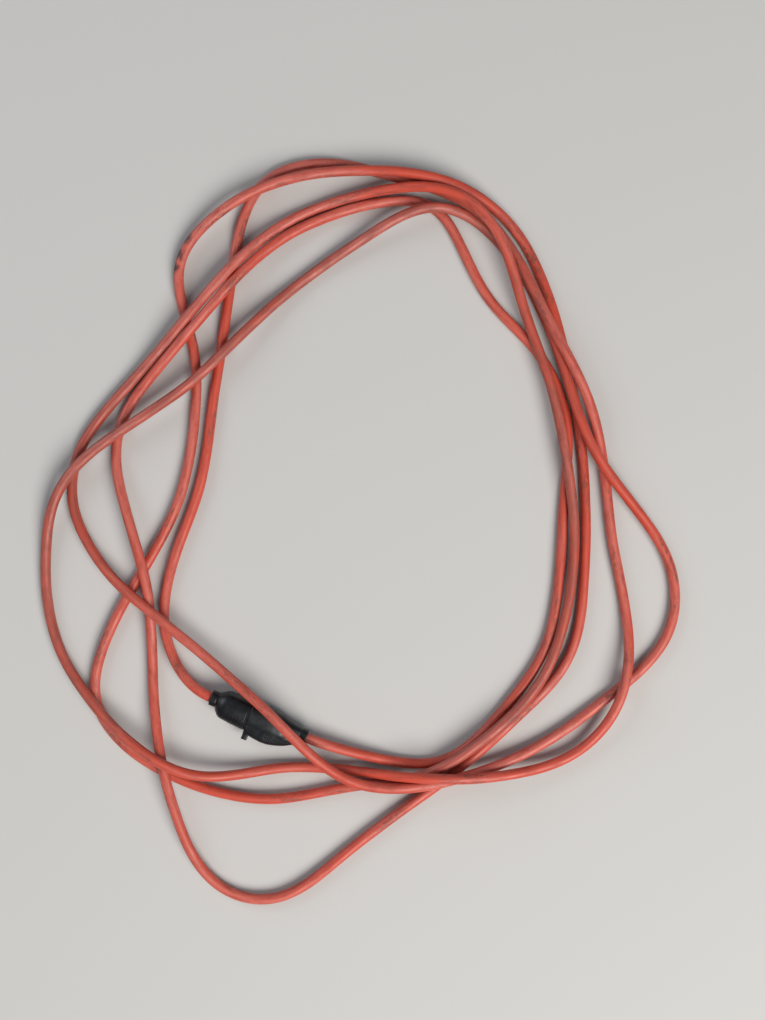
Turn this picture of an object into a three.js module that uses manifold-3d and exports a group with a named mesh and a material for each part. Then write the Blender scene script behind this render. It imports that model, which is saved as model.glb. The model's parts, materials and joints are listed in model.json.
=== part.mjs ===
// An outdoor extension cord, lying in five loose turns with its plug pushed into its own
// connector. Millimetres, +Z up, the floor at z = 0. The moulded pair lies on its side, with
// the ground pin pointing sideways, and one strand of the cord crosses over the connector.
import * as THREE from 'three';
import { NURBSCurve } from 'three/addons/curves/NURBSCurve.js';
import { mergeVertices } from 'three/addons/utils/BufferGeometryUtils.js';
import Module from 'manifold-3d';

const wasm = await Module();
wasm.setup();

// ---- driving dimensions -------------------------------------------------------------------

const GAP = 0.3; // clearance between two pieces that touch on the real object

const CORD_DIAMETER = 8.8;
const CORD_SIDES = 8;
const CORD_STEP = 24; // length of one straight step of a cord solid
const TURNS = 5;
const TAIL_LENGTH = 120; // the stretch behind the connector that gives when it is pulled

const AXIS_HEIGHT = 12.75; // half the thickness of the plug and the connector
const PAIR_YAW = THREE.MathUtils.degToRad(-21.2);
const MATING_POINT = new THREE.Vector3(-95, -153, AXIS_HEIGHT);

const PLUG_LENGTH = 36;
const CONNECTOR_LENGTH = 52.7;
const CONNECTOR_CORD_Y = -2.6; // the connector's cord leaves a little to the ground side

const BLADE = { spacing: 12.7, y: 3.3, width: 6.35, thickness: 1.5, reach: 17.5 };
const GROUND = { y: -8.6, radius: 2.4, reach: 20.3 };
const WIRE_RADIUS = 1.5;
const WIRE_SPREAD = 2.1; // from the cord's middle to each wire's middle where they come out
const CRIMP = { inner: 1.8, outer: 2.1, length: 3.8 };

// The middle line of the cord, from the connector round to the plug: the control points of
// one uniform cubic B-spline. Where a strand lies on others its points rise in a long low hump.
const ROUTE = [
  [-47, -174.5, 12.75], [-26, -183, 12.5], [21, -196, 4.5], [77, -204, 4.5], [129, -145, 4.5],
  [164, -99, 4.5], [172, -27, 4.5], [174, 35, 4.5], [182, 100, 4.5], [154, 161, 4.5],
  [101, 201, 4.5], [76, 282, 4.5], [29, 291, 4.5], [-47, 269, 4.5], [-95, 235, 11.5],
  [-138, 182, 18], [-182, 135, 6], [-220, 84, 2.5], [-200, 13, 15.5], [-180, -48, 14.5],
  [-181, -113, 0.5], [-176, -178, 13], [-160, -241, 15.5], [-134, -307, 4], [-69, -324, 5],
  [-16, -276, 4.5], [35, -238, 4.5], [90, -200, 4.5], [136, -156, 4.5], [185, -111, 4.5],
  [192, -44, 4.5], [194, 21, 4.5], [189, 86, 4.5], [177, 149, 4.5], [160, 213, 4.5],
  [130, 272, 4.5], [73, 305, 20], [7, 312, 12.5], [-59, 307, 15], [-119, 282, 13.5],
  [-170, 231, 4.5], [-141, 163, 4.5], [-142, 104, 4.5], [-152, 33, 4.5], [-181, -21, 4.5],
  [-216, -76, 4.5], [-240, -144, 4.5], [-197, -194, 4.5], [-134, -223, 4.5], [-72, -233, 5],
  [-7, -215, 4], [57, -212, 13.5], [113, -171, 15], [159, -128, 10], [179, -62, 10],
  [185, 2, 9.5], [175, 66, 16.5], [163, 131, 13.5], [137, 190, 14], [121, 259, 25.5],
  [75, 299, 24.5], [6, 295, 6], [-61, 274, 2.5], [-107, 235, 16], [-151, 182, 16],
  [-194, 134, 3], [-242, 84, 5.5], [-257, 27, 3.5], [-220, -37, 11], [-169, -73, 25],
  [-118, -117, 17.5], [-69, -157, 36.7], [-22, -212, 21.5], [37, -221, 18.5], [106, -205, 9.5],
  [163, -180, 4.5], [215, -139, 4.5], [269, -96, 4.5], [274, -29, 4.5], [233, 25, 10],
  [192, 73, 19], [175, 140, 12.5], [152, 200, 10], [118, 259, 0.5], [62, 290, 19],
  [0, 252, 8], [-54, 217, 2], [-102, 172, 13], [-146, 125, 15.5], [-201, 92, 13.5],
  [-260, 49, 16], [-274, -8, 4.5], [-271, -81, 4], [-243, -133, 9], [-193, -183, 27.5],
  [-137, -215, 17.5], [-69, -198, 3], [-6, -204, 6], [60, -209, 28], [125, -208, 16],
  [190, -194, 3], [229, -138, 20], [231, -72, 2.5], [214, -8, 6.5], [210, 58, 3],
  [195, 120, 18], [160, 175, 24], [135, 239, 11.5], [95, 285, 18], [30, 307, 3],
  [-37, 325, 5.5], [-98, 303, 4.5], [-111, 231, 4.5], [-119, 168, 4.5], [-130, 103, 4.5],
  [-136, 39, 4.5], [-164, -21, 4.5], [-177, -88, 4.5], [-149, -132, 12.75], [-128.5, -140, 12.75],
];

// Cross-sections of the two mouldings, along their length from the mating plane: x, the lowest
// and highest y, and half the thickness in z.
const PLUG_SECTIONS = [
  [-36, -6.6, 6.6, 6.6], [-30.2, -6.6, 6.6, 6.6], [-29.4, -8.6, 6.7, 8.2],
  [-25.6, -12.6, 8.6, 10.8], [-20.5, -15, 10.7, 12.6], [-13, -15.9, 11.4, 13.3],
  [0, -15.9, 11.4, 13.3],
];
const CONNECTOR_SECTIONS = [
  [0.4, -15.9, 11.4, 13.3], [8, -15.7, 11.3, 13.3], [17, -14.9, 10.6, 12.9],
  [27, -13.2, 9, 11.4], [36, -11.6, 6.5, 9.4], [44, -10.1, 4.8, 7.6],
  [46.5, -9.5, 4.3, 6.9], [CONNECTOR_LENGTH, -9.5, 4.3, 6.9],
];

// ---- materials ----------------------------------------------------------------------------

const finish = (color, roughness, metalness = 0) =>
  new THREE.MeshStandardMaterial({ color, roughness, metalness });
const JACKET = () => finish(0xd9563f, 0.55);
const MOULDED_VINYL = () => finish(0x17181b, 0.6);
const BRIDGE_NYLON = () => finish(0x24262a, 0.5);
const PLATED_BRASS = () => finish(0xc9bf9a, 0.3, 1);
const CONTACT_BRASS = () => finish(0xb99b4f, 0.35, 1);
const WIRE_COLOURS = { line: 0x141414, neutral: 0xe6e4dc, ground: 0x2f7d3c };

// ---- helpers ------------------------------------------------------------------------------

function toSolid(geometry) {
  const bare = geometry.clone();
  bare.deleteAttribute('normal');
  bare.deleteAttribute('uv');
  const merged = mergeVertices(bare, 1e-4);
  return new wasm.Manifold(new wasm.Mesh({
    numProp: 3,
    vertProperties: new Float32Array(merged.attributes.position.array),
    triVerts: new Uint32Array(merged.index.array),
  }));
}

function toGeometry(solid) {
  const mesh = solid.getMesh();
  const geometry = new THREE.BufferGeometry();
  geometry.setAttribute('position', new THREE.BufferAttribute(mesh.vertProperties, 3));
  geometry.setIndex(new THREE.BufferAttribute(mesh.triVerts, 1));
  return geometry;
}

function subtract(geometry, ...cuts) {
  const solid = cuts.reduce((rest, cut) => rest.subtract(toSolid(cut)), toSolid(geometry));
  return toGeometry(solid);
}

function join(geometry, ...others) {
  return toGeometry(others.reduce((sum, other) => sum.add(toSolid(other)), toSolid(geometry)));
}

function piece(name, geometry, material) {
  const mesh = new THREE.Mesh(geometry, material);
  mesh.name = name;
  return mesh;
}

/** A box from its two corners. */
function block([x0, y0, z0], [x1, y1, z1]) {
  const box = new THREE.BoxGeometry(x1 - x0, y1 - y0, z1 - z0);
  return box.translate((x0 + x1) / 2, (y0 + y1) / 2, (z0 + z1) / 2);
}

/** A round bar along x. */
function rod(radius, x0, x1, y, z, sides = 20) {
  const bar = new THREE.CylinderGeometry(radius, radius, x1 - x0, sides);
  return bar.rotateZ(-Math.PI / 2).translate((x0 + x1) / 2, y, z);
}

/** A sleeve along x, round inside and out. */
function sleeve(inner, outer, x0, x1, y, z) {
  const profile = [[inner, 0], [outer, 0], [outer, x1 - x0], [inner, x1 - x0], [inner, 0]];
  const ring = new THREE.LatheGeometry(profile.map(([r, h]) => new THREE.Vector2(r, h)), 16);
  return ring.rotateZ(-Math.PI / 2).translate(x0, y, z);
}

/** A prism along x whose section is a rectangle in y and z with rounded corners. */
function roundedPrism({ x0, x1, yLow, yHigh, halfZ, corner }) {
  const section = new THREE.Shape();
  section.absarc(yHigh - corner, halfZ - corner, corner, 0, Math.PI / 2);
  section.absarc(yLow + corner, halfZ - corner, corner, Math.PI / 2, Math.PI);
  section.absarc(yLow + corner, corner - halfZ, corner, Math.PI, 1.5 * Math.PI);
  section.absarc(yHigh - corner, corner - halfZ, corner, 1.5 * Math.PI, 2 * Math.PI);
  const prism = new THREE.ExtrudeGeometry(section, {
    depth: x1 - x0, bevelEnabled: false, curveSegments: 2,
  });
  // The extrusion's own x, y and z become y, z and x.
  const turn = new THREE.Matrix4().makeBasis(
    new THREE.Vector3(0, 1, 0), new THREE.Vector3(0, 0, 1), new THREE.Vector3(1, 0, 0));
  return prism.applyMatrix4(turn).translate(x0, 0, 0);
}

/** A closed body through the given sections, each one a squared-off ellipse. */
function loft(sections, squareness = 3, sides = 28) {
  const corners = [];
  for (const [x, yLow, yHigh, halfZ] of sections) {
    const middle = (yLow + yHigh) / 2;
    const halfY = (yHigh - yLow) / 2;
    for (let i = 0; i < sides; i += 1) {
      const angle = (2 * Math.PI * i) / sides;
      const c = Math.cos(angle);
      const s = Math.sin(angle);
      const power = 2 / squareness;
      const y = middle + halfY * Math.sign(c) * Math.abs(c) ** power;
      const z = halfZ * Math.sign(s) * Math.abs(s) ** power;
      corners.push(x, y, z);
    }
  }
  const faces = [];
  for (let ring = 0; ring < sections.length - 1; ring += 1) {
    for (let i = 0; i < sides; i += 1) {
      const a = ring * sides + i;
      const b = ring * sides + ((i + 1) % sides);
      faces.push(a, b, b + sides, a, b + sides, a + sides);
    }
  }
  const last = (sections.length - 1) * sides;
  for (let i = 1; i < sides - 1; i += 1) {
    faces.push(0, i + 1, i, last, last + i, last + i + 1);
  }
  const geometry = new THREE.BufferGeometry();
  geometry.setAttribute('position', new THREE.Float32BufferAttribute(corners, 3));
  geometry.setIndex(faces);
  return geometry;
}

/** Presses a moulding flat above and below, where it is gripped and where it lies. */
function pressFlat(geometry) {
  const reach = 100;
  const top = block([-reach, -reach, AXIS_HEIGHT], [reach, reach, AXIS_HEIGHT + 5]);
  const bottom = block([-reach, -reach, -AXIS_HEIGHT - 5], [reach, reach, -AXIS_HEIGHT]);
  return subtract(geometry, top, bottom);
}

/** A round tube along a curve, closed at both ends. */
function tube(curve, radius, steps, sides) {
  const section = new THREE.Shape().absarc(0, 0, radius, 0, 2 * Math.PI);
  return new THREE.ExtrudeGeometry(section, {
    extrudePath: curve, steps, bevelEnabled: false, curveSegments: sides / 2,
  });
}

// ---- the cord -----------------------------------------------------------------------------

/** The stretch of a curve between two distances along it. */
class Stretch extends THREE.Curve {
  constructor(whole, from, to) {
    super();
    this.whole = whole;
    this.from = from / whole.getLength();
    this.to = to / whole.getLength();
  }

  getPoint(t, target = new THREE.Vector3()) {
    return this.whole.getPointAt(THREE.MathUtils.lerp(this.from, this.to, t), target);
  }
}

function cordRoute() {
  const degree = 3;
  const spans = ROUTE.length - degree;
  const knots = Array.from({ length: ROUTE.length + degree + 1 }, (_, i) =>
    THREE.MathUtils.clamp(i - degree, 0, spans));
  const points = ROUTE.map(([x, y, z]) => new THREE.Vector4(x, y, z, 1));
  const route = new NURBSCurve(degree, knots, points);
  route.arcLengthDivisions = 3000;
  return route;
}

function cordPieces() {
  const route = cordRoute();
  const end = route.getLength() - GAP;
  const turn = (end - TAIL_LENGTH) / TURNS;
  const cord = (name, from, to) => {
    const steps = Math.round((to - from) / CORD_STEP);
    const line = new Stretch(route, from, to);
    return piece(name, tube(line, CORD_DIAMETER / 2, steps, CORD_SIDES), JACKET());
  };
  const pieces = [cord('cord_tail', GAP, TAIL_LENGTH)];
  for (let n = 0; n < TURNS; n += 1) {
    const from = TAIL_LENGTH + n * turn + GAP;
    pieces.push(cord(`cord_turn_${n + 1}`, from, TAIL_LENGTH + (n + 1) * turn));
  }
  return pieces;
}

// ---- conductors, the same at both ends ----------------------------------------------------

// Where each conductor lies across the pair.
const POLES = {
  line: { y: BLADE.y, z: BLADE.spacing / 2 },
  neutral: { y: BLADE.y, z: -BLADE.spacing / 2 },
  ground: { y: GROUND.y, z: 0 },
};

// The way each wire leaves the cord's middle, so that none crosses another.
const WIRE_ANGLES = { line: 60, neutral: -60, ground: 180 };

/** The crimp and the wire of one pole, from the cord's cut end to the back of a contact. */
function conductor(prefix, pole, cordEnd, cordY, crimpFrom) {
  const { y, z } = POLES[pole];
  const towards = Math.sign(cordEnd - crimpFrom);
  const crimpTo = crimpFrom + towards * CRIMP.length;
  const angle = THREE.MathUtils.degToRad(WIRE_ANGLES[pole]);
  const startY = cordY + WIRE_SPREAD * Math.cos(angle);
  const startZ = WIRE_SPREAD * Math.sin(angle);
  const start = cordEnd - towards * GAP;
  const inside = crimpFrom + towards * 1;
  const path = new THREE.CatmullRomCurve3([
    new THREE.Vector3(start, startY, startZ),
    new THREE.Vector3(start - towards * 1.5, startY, startZ),
    new THREE.Vector3(crimpTo + towards * 1, y, z),
    new THREE.Vector3(inside, y, z),
  ]);
  const low = Math.min(crimpFrom, crimpTo);
  const high = Math.max(crimpFrom, crimpTo);
  return [
    piece(`${prefix}_crimp_${pole}`, sleeve(CRIMP.inner, CRIMP.outer, low, high, y, z),
      CONTACT_BRASS()),
    piece(`${prefix}_wire_${pole}`, tube(path, WIRE_RADIUS, 10, 8),
      finish(WIRE_COLOURS[pole], 0.5)),
  ];
}

// ---- the plug -----------------------------------------------------------------------------

const PLUG_CORD_END = -24.3; // the cord's cut end inside the plug
const BRIDGE = { x0: -5, x1: -0.2, yLow: -12.6, yHigh: 8.2, halfZ: 9.6, corner: 5 };

function grown(prism, by, changes = {}) {
  return {
    ...prism,
    yLow: prism.yLow - by,
    yHigh: prism.yHigh + by,
    halfZ: prism.halfZ + by,
    ...changes,
  };
}

function plugBody() {
  const bridgeSeat = roundedPrism(grown(BRIDGE, GAP, { x0: BRIDGE.x0 - GAP, x1: 1 }));
  const chamber = roundedPrism({
    x0: -23.6, x1: -5, yLow: -11.4, yHigh: 7.4, halfZ: 9, corner: 3.5,
  });
  const cordBore = rod(CORD_DIAMETER / 2 + GAP, -PLUG_LENGTH - 1, -21, 0, 0);
  return subtract(pressFlat(loft(PLUG_SECTIONS)), bridgeSeat, chamber, cordBore);
}

function blade(z) {
  const { y, width, thickness, reach } = BLADE;
  const half = width / 2;
  const nose = 2;
  const outline = new THREE.Shape();
  outline.moveTo(-12.6, y - half);
  outline.lineTo(reach - nose, y - half);
  outline.lineTo(reach, y - half + nose);
  outline.lineTo(reach, y + half - nose);
  outline.lineTo(reach - nose, y + half);
  outline.lineTo(-12.6, y + half);
  outline.closePath();
  const plate = new THREE.ExtrudeGeometry(outline, { depth: thickness, bevelEnabled: false });
  return plate.translate(0, 0, z - thickness / 2);
}

function groundPin() {
  const { y, radius, reach } = GROUND;
  const nose = [];
  const arcs = 5;
  for (let i = 0; i <= arcs; i += 1) {
    const angle = (Math.PI / 2) * (i / arcs);
    const r = i === arcs ? 0 : radius * Math.cos(angle);
    nose.push(new THREE.Vector2(r, reach - radius + radius * Math.sin(angle)));
  }
  const profile = [new THREE.Vector2(0, -12.6), new THREE.Vector2(radius, -12.6), ...nose];
  return new THREE.LatheGeometry(profile, 20).rotateZ(-Math.PI / 2).translate(0, y, 0);
}

function plugBridge() {
  const { y, spacing, width, thickness } = BLADE;
  const slot = (z) => block(
    [BRIDGE.x0 - 1, y - width / 2 - GAP, z - thickness / 2 - GAP],
    [1, y + width / 2 + GAP, z + thickness / 2 + GAP]);
  const hole = rod(GROUND.radius + GAP, BRIDGE.x0 - 1, 1, GROUND.y, 0);
  return subtract(roundedPrism(BRIDGE), slot(spacing / 2), slot(-spacing / 2), hole);
}

function plugPieces() {
  const jacketEnd = rod(CORD_DIAMETER / 2, -PLUG_LENGTH + GAP, PLUG_CORD_END, 0, 0, 16);
  return [
    piece('plug_body', plugBody(), MOULDED_VINYL()),
    piece('plug_bridge', plugBridge(), BRIDGE_NYLON()),
    piece('line_blade', blade(BLADE.spacing / 2), PLATED_BRASS()),
    piece('neutral_blade', blade(-BLADE.spacing / 2), PLATED_BRASS()),
    piece('ground_pin', groundPin(), PLATED_BRASS()),
    piece('plug_cord_end', jacketEnd, JACKET()),
    ...Object.keys(POLES).flatMap((pole) =>
      conductor('plug', pole, PLUG_CORD_END, 0, -12.6 - GAP)),
  ];
}

// ---- the connector ------------------------------------------------------------------------

const CONNECTOR_CORD_END = 34; // the cord's cut end inside the connector
const CARRIER = { x0: 0.6, x1: 21.4, yLow: -13.3, yHigh: 8.3, halfZ: 9.5, corner: 5 };
const FACE_PLATE_END = 3.4; // behind the face plate each contact has a wider chamber
const CHAMBER_HALF_Z = 2.1;
const LEAF = 0.6; // thickness of the contacts' spring sheet

/** The flat finger grip on the ground side, with the square key tab at its front corner. */
function connectorGrip() {
  const edge = [[0.4, -18.6], [8, -19.9], [17, -20.7], [26.6, -19.5], [35, -16.6], [41, -13.4]];
  const outline = new THREE.Shape();
  outline.moveTo(0.4, -6);
  outline.lineTo(...edge[0]);
  outline.splineThru(edge.slice(1).map(([x, y]) => new THREE.Vector2(x, y)));
  outline.lineTo(44.5, -9);
  outline.lineTo(40, -6);
  outline.closePath();
  const half = 7.4;
  const bevel = 1.8;
  const web = new THREE.ExtrudeGeometry(outline, {
    depth: 2 * (half - bevel), bevelThickness: bevel, bevelSize: bevel, bevelOffset: -bevel,
    bevelSegments: 2, curveSegments: 2,
  });
  const tab = block([0.4, -23.1, -4], [5.4, -15, 4]);
  return join(web.translate(0, 0, bevel - half), tab);
}

function connectorBody() {
  const carrierSeat = roundedPrism(grown(CARRIER, GAP, { x0: -1, x1: CARRIER.x1 + GAP }));
  const wireRoom = roundedPrism({
    x0: 21, x1: 30, yLow: -11.4, yHigh: 6.6, halfZ: 9, corner: 3.4,
  });
  const neck = roundedPrism({ x0: 29, x1: 35, yLow: -9.6, yHigh: 4.4, halfZ: 6.6, corner: 4 });
  const cordBore = rod(
    CORD_DIAMETER / 2 + GAP, 34, CONNECTOR_LENGTH + 1, CONNECTOR_CORD_Y, 0);
  const outside = join(pressFlat(loft(CONNECTOR_SECTIONS)), connectorGrip());
  return subtract(outside, carrierSeat, wireRoom, neck, cordBore);
}

function contactCarrier() {
  const { y, spacing, width, thickness } = BLADE;
  const bladeWay = (z) => block(
    [-1, y - width / 2 - GAP, z - thickness / 2 - GAP],
    [10, y + width / 2 + GAP, z + thickness / 2 + GAP]);
  const chamber = (z) => block(
    [FACE_PLATE_END, y - width / 2 - 2 * GAP, z - CHAMBER_HALF_Z],
    [30, y + width / 2 + 2 * GAP, z + CHAMBER_HALF_Z]);
  const pinWay = rod(GROUND.radius + GAP, -1, 10, GROUND.y, 0);
  const pinChamber = rod(GROUND.radius + 4 * GAP + 0.1, FACE_PLATE_END, 30, GROUND.y, 0);
  const cuts = [spacing / 2, -spacing / 2].flatMap((z) => [bladeWay(z), chamber(z)]);
  return subtract(roundedPrism(CARRIER), ...cuts, pinWay, pinChamber);
}

/** A spring clip: two leaves of bent sheet that take a blade between them. */
function bladeContact(z) {
  const inner = BLADE.thickness / 2 + GAP;
  const half = BLADE.width / 2;
  const back = 20.8;
  const clip = block(
    [FACE_PLATE_END + GAP, BLADE.y - half, z - inner - LEAF],
    [back, BLADE.y + half, z + inner + LEAF]);
  const space = block(
    [0, BLADE.y - half - 1, z - inner],
    [back - LEAF, BLADE.y + half + 1, z + inner]);
  return subtract(clip, space);
}

function connectorPieces() {
  const jacketEnd = rod(
    CORD_DIAMETER / 2, CONNECTOR_CORD_END, CONNECTOR_LENGTH - GAP, CONNECTOR_CORD_Y, 0, 16);
  const pinSleeve = sleeve(
    GROUND.radius + GAP, GROUND.radius + GAP + LEAF, FACE_PLATE_END + GAP, 21, GROUND.y, 0);
  return [
    piece('connector_body', connectorBody(), MOULDED_VINYL()),
    piece('contact_carrier', contactCarrier(), BRIDGE_NYLON()),
    piece('line_contact', bladeContact(BLADE.spacing / 2), CONTACT_BRASS()),
    piece('neutral_contact', bladeContact(-BLADE.spacing / 2), CONTACT_BRASS()),
    piece('ground_contact', pinSleeve, CONTACT_BRASS()),
    piece('connector_cord_end', jacketEnd, JACKET()),
    ...Object.keys(POLES).flatMap((pole) =>
      conductor('connector', pole, CONNECTOR_CORD_END, CONNECTOR_CORD_Y, 21.6)),
  ];
}

// ---- assembly -----------------------------------------------------------------------------

const pair = new THREE.Group();
pair.position.copy(MATING_POINT);
pair.rotation.z = PAIR_YAW;
pair.add(...plugPieces(), ...connectorPieces());

const extensionCord = new THREE.Group();
extensionCord.add(pair, ...cordPieces());

export default extensionCord;
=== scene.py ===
"""The looks of an outdoor extension cord that lies in five loose turns on a floor.

The cord is one smooth route with a fluted vinyl jacket, made by Geometry Nodes. The plug and
the connector are lofted mouldings with their ribs, grip and key tab, drawn in millimetres in
a frame of their own. Everything else is in metres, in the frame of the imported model.
"""

import json
import logging
import math
from collections.abc import Sequence
from dataclasses import dataclass
from enum import Enum

import bmesh
import bpy
from mathutils import Matrix, Vector

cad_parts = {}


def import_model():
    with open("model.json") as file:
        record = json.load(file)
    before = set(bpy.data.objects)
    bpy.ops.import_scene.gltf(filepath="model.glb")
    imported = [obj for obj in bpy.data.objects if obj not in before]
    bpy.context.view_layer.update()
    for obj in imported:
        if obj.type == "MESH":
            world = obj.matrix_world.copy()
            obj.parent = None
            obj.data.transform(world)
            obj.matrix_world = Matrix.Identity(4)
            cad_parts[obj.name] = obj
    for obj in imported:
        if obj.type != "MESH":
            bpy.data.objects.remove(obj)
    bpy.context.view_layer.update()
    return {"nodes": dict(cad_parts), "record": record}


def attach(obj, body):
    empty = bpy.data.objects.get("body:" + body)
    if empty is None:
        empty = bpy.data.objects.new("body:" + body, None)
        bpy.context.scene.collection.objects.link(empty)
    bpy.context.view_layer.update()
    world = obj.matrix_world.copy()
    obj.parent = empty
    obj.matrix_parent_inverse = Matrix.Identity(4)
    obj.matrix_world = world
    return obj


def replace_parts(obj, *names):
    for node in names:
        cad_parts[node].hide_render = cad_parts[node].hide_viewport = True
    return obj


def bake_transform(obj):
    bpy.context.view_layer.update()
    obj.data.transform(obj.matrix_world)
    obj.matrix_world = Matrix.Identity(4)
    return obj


LOG = logging.getLogger("extension_cord")
MM = 0.001
ROUND_SIDES = 64
CORNER_STEPS = 8
RIB_SIDES = 10
SHARP_ANGLE = math.radians(32)
BEVEL_ANGLE = math.radians(45)
CORES = 3

# The sockets of a Mix node that mixes colours.
MIX_SHARE, MIX_LOW, MIX_HIGH, MIX_RESULT = 0, 6, 7, 2
# What a noise mostly stays between, how quickly its finer layers fade, and the grain's bump.
NOISE_LOW, NOISE_HIGH = 0.3, 0.7
NOISE_ROUGHNESS = 0.62
GRAIN_STRENGTH = 0.6

Tree = bpy.types.NodeTree
Socket = bpy.types.NodeSocket
Piece = bpy.types.Object
Material = bpy.types.Material
Settings = dict[str, object]
Inputs = dict[str | int, object]
Pair = tuple[float, float]
Triple = tuple[float, float, float]

# The cord's middle line, from the connector round to the plug: the control points of one
# uniform cubic B-spline, in millimetres. Where a strand lies on others its points rise.
ROUTE: list[Triple] = [
    (-47, -174.5, 12.75), (-26, -183, 12.5), (21, -196, 4.5), (77, -204, 4.5), (129, -145, 4.5),
    (164, -99, 4.5), (172, -27, 4.5), (174, 35, 4.5), (182, 100, 4.5), (154, 161, 4.5),
    (101, 201, 4.5), (76, 282, 4.5), (29, 291, 4.5), (-47, 269, 4.5), (-95, 235, 11.5),
    (-138, 182, 18), (-182, 135, 6), (-220, 84, 2.5), (-200, 13, 15.5), (-180, -48, 14.5),
    (-181, -113, 0.5), (-176, -178, 13), (-160, -241, 15.5), (-134, -307, 4), (-69, -324, 5),
    (-16, -276, 4.5), (35, -238, 4.5), (90, -200, 4.5), (136, -156, 4.5), (185, -111, 4.5),
    (192, -44, 4.5), (194, 21, 4.5), (189, 86, 4.5), (177, 149, 4.5), (160, 213, 4.5),
    (130, 272, 4.5), (73, 305, 20), (7, 312, 12.5), (-59, 307, 15), (-119, 282, 13.5),
    (-170, 231, 4.5), (-141, 163, 4.5), (-142, 104, 4.5), (-152, 33, 4.5), (-181, -21, 4.5),
    (-216, -76, 4.5), (-240, -144, 4.5), (-197, -194, 4.5), (-134, -223, 4.5), (-72, -233, 5),
    (-7, -215, 4), (57, -212, 13.5), (113, -171, 15), (159, -128, 10), (179, -62, 10),
    (185, 2, 9.5), (175, 66, 16.5), (163, 131, 13.5), (137, 190, 14), (121, 259, 25.5),
    (75, 299, 24.5), (6, 295, 6), (-61, 274, 2.5), (-107, 235, 16), (-151, 182, 16),
    (-194, 134, 3), (-242, 84, 5.5), (-257, 27, 3.5), (-220, -37, 11), (-169, -73, 25),
    (-118, -117, 17.5), (-69, -157, 36.7), (-22, -212, 21.5), (37, -221, 18.5), (106, -205, 9.5),
    (163, -180, 4.5), (215, -139, 4.5), (269, -96, 4.5), (274, -29, 4.5), (233, 25, 10),
    (192, 73, 19), (175, 140, 12.5), (152, 200, 10), (118, 259, 0.5), (62, 290, 19), (0, 252, 8),
    (-54, 217, 2), (-102, 172, 13), (-146, 125, 15.5), (-201, 92, 13.5), (-260, 49, 16),
    (-274, -8, 4.5), (-271, -81, 4), (-243, -133, 9), (-193, -183, 27.5), (-137, -215, 17.5),
    (-69, -198, 3), (-6, -204, 6), (60, -209, 28), (125, -208, 16), (190, -194, 3),
    (229, -138, 20), (231, -72, 2.5), (214, -8, 6.5), (210, 58, 3), (195, 120, 18), (160, 175, 24),
    (135, 239, 11.5), (95, 285, 18), (30, 307, 3), (-37, 325, 5.5), (-98, 303, 4.5),
    (-111, 231, 4.5), (-119, 168, 4.5), (-130, 103, 4.5), (-136, 39, 4.5), (-164, -21, 4.5),
    (-177, -88, 4.5), (-149, -132, 12.75), (-128.5, -140, 12.75),
]


class Body(str, Enum):
    """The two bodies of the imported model."""

    CORD_AND_PLUG = "cord_and_plug"
    CONNECTOR = "connector"


# ---- helpers for colours, nodes and meshes


def linear(hex_colour: str) -> tuple[float, float, float, float]:
    """Turns six sRGB hex digits into the linear red, green, blue and alpha of a shader."""

    def channel(value: int) -> float:
        """Turns one sRGB channel linear."""
        share = value / 255
        return share / 12.92 if share <= 0.04045 else ((share + 0.055) / 1.055) ** 2.4

    red, green, blue = (int(hex_colour[i : i + 2], 16) for i in (0, 2, 4))
    return channel(red), channel(green), channel(blue), 1.0


def add_node(
    tree: Tree, kind: str, settings: Settings | None = None, inputs: Inputs | None = None
) -> bpy.types.Node:
    """Adds a node, sets it up and links it.

    Args:
        tree: the shader or geometry tree.
        kind: the node's type name.
        settings: its own properties.
        inputs: its input sockets by name or number, each a value or a socket to link from.

    Returns:
        The new node.
    """
    node = tree.nodes.new(kind)
    for name, value in (settings or {}).items():
        setattr(node, name, value)
    for key, value in (inputs or {}).items():
        if isinstance(value, Socket):
            tree.links.new(value, node.inputs[key])
        else:
            node.inputs[key].default_value = value
    return node


def output(
    tree: Tree,
    kind: str,
    settings: Settings | None = None,
    inputs: Inputs | None = None,
    wanted: str | int = 0,
) -> Socket:
    """Adds a node as add_node does, and gives the one of its outputs that is wanted."""
    return add_node(tree, kind, settings, inputs).outputs[wanted]


def maths(tree: Tree, operation: str, *values: object) -> Socket:
    """Adds one sum to a tree and gives its result."""
    return output(tree, "ShaderNodeMath", {"operation": operation}, dict(enumerate(values)))


def new_object(name: str, data: bpy.types.ID) -> Piece:
    """Puts a mesh, a curve, a light or a camera into the scene under a name."""
    made = bpy.data.objects.new(name, data)
    bpy.context.scene.collection.objects.link(made)
    return made


def mesh_object(name: str, shape: bmesh.types.BMesh) -> Piece:
    """Turns a bmesh into an object, with its faces pointing out."""
    bmesh.ops.recalc_face_normals(shape, faces=shape.faces)
    mesh = bpy.data.meshes.new(name)
    shape.to_mesh(mesh)
    shape.free()
    return new_object(name, mesh)


def result_mesh(piece: Piece) -> bpy.types.Mesh:
    """Gives what the piece's modifiers make of it, as a new mesh."""
    graph = bpy.context.evaluated_depsgraph_get()
    graph.update()
    return bpy.data.meshes.new_from_object(piece.evaluated_get(graph))


def settle(piece: Piece) -> None:
    """Makes what the modifiers give the piece's own mesh, and removes them."""
    mesh = result_mesh(piece)
    piece.modifiers.clear()
    piece.data = mesh


def cut_away(piece: Piece, *cutters: Piece) -> None:
    """Takes the cutters' shapes out of a piece, and removes the cutters."""
    for cutter in cutters:
        cut = piece.modifiers.new("cut", "BOOLEAN")
        cut.operation = "DIFFERENCE"
        cut.solver = "EXACT"
        cut.object = cutter
    settle(piece)
    for cutter in cutters:
        bpy.data.objects.remove(cutter)


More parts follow.
